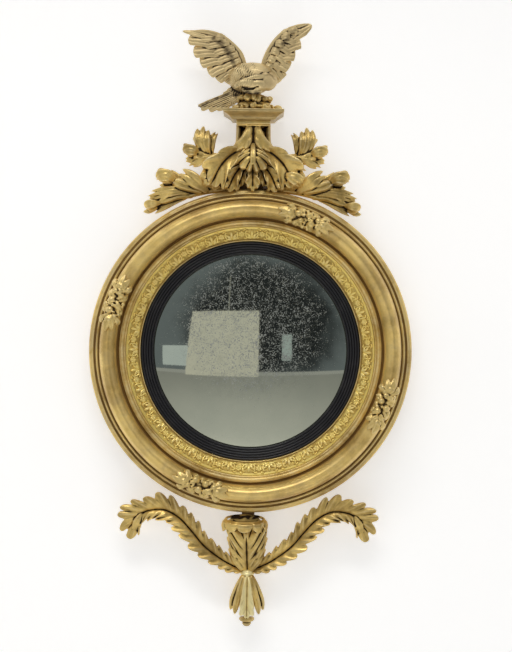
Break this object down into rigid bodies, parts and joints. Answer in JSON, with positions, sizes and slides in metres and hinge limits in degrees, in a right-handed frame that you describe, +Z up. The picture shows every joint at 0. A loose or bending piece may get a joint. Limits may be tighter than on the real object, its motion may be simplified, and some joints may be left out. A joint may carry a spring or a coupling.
{
  "type": "convex girandole mirror",
  "caption": "Round convex wall mirror in a moulded giltwood frame with a black reeded slip, an eagle crest on carved acanthus and a leafy apron with a pendant.",
  "frame": {"origin": "centre of the round frame on its flat back plane, on the rear face of the middle backboard", "axes": "+Z up along the height, -Y out of the front of the mirror, +X to the viewer's right"},
  "size_m": [0.6078, 0.1084, 1.1408],
  "materials": {
    "gilt": "water gilding over gesso, worn and toned",
    "bright_gilt": "brighter burnished gilding on compo",
    "ebonised": "black lacquered, satin",
    "mirror_glass": "silvered glass, foxed with age",
    "pine": "bare aged pine",
    "iron": "dark forged iron",
    "brass": "dull aged brass"
  },
  "bodies": {
    "root": {"frame_ring": "gilt", "eagle_body": "gilt", "eagle_wing_left": "gilt", "eagle_wing_right": "gilt", "rockwork": "gilt", "plinth": "gilt", "pedestal": "gilt", "crest_centre_leaf": "gilt", "crest_leaf_left": "gilt", "crest_leaf_right": "gilt", "upper_spray_left": "gilt", "upper_spray_right": "gilt", "lower_spray_left": "gilt", "lower_spray_right": "gilt", "bracket_leaf": "gilt", "apron_spray_left": "gilt", "apron_spray_right": "gilt", "finial": "gilt", "ornament_band": "bright_gilt", "pendant": "bright_gilt", "fruit_cluster_1": "bright_gilt", "fruit_cluster_2": "bright_gilt", "fruit_cluster_3": "bright_gilt", "fruit_cluster_4": "bright_gilt", "ebonised_slip": "ebonised", "mirror_plate": "mirror_glass", "packing_ring": "pine", "crest_board": "pine", "apron_tongue": "pine", "backboard_lower": "pine", "backboard_middle": "pine", "backboard_upper": "pine", "glass_block_1": "pine", "glass_block_2": "pine", "glass_block_3": "pine", "glass_block_4": "pine", "glass_block_5": "pine", "glass_block_6": "pine", "eagle_rod": "iron", "crest_brace": "iron", "apron_brace": "iron", "crest_brace_screw_1": "iron", "crest_brace_screw_2": "iron", "apron_brace_screw_1": "iron", "apron_brace_screw_2": "iron", "backboard_screw_1": "brass", "backboard_screw_2": "brass", "backboard_screw_3": "brass", "backboard_screw_4": "brass", "backboard_screw_5": "brass", "backboard_screw_6": "brass", "hanger_screw_1": "brass", "hanger_screw_2": "brass", "hanger_screw_3": "brass", "hanger_screw_4": "brass", "hanger_strap_left": "brass", "hanger_strap_right": "brass"},
    "hanging_ring_left": {"hanging_ring_left": "brass"},
    "hanging_ring_right": {"hanging_ring_right": "brass"}
  },
  "joints": [
    {"name": "hanging_ring_left_hinge", "type": "hinge", "parent": "root", "child": "hanging_ring_left", "pos_m": [-0.26175, 0.0038, 0.092], "axis": [1, 0, 0], "range_deg": [0, 180]},
    {"name": "hanging_ring_right_hinge", "type": "hinge", "parent": "root", "child": "hanging_ring_right", "pos_m": [0.26175, 0.0038, 0.092], "axis": [1, 0, 0], "range_deg": [0, 180]}
  ]
}
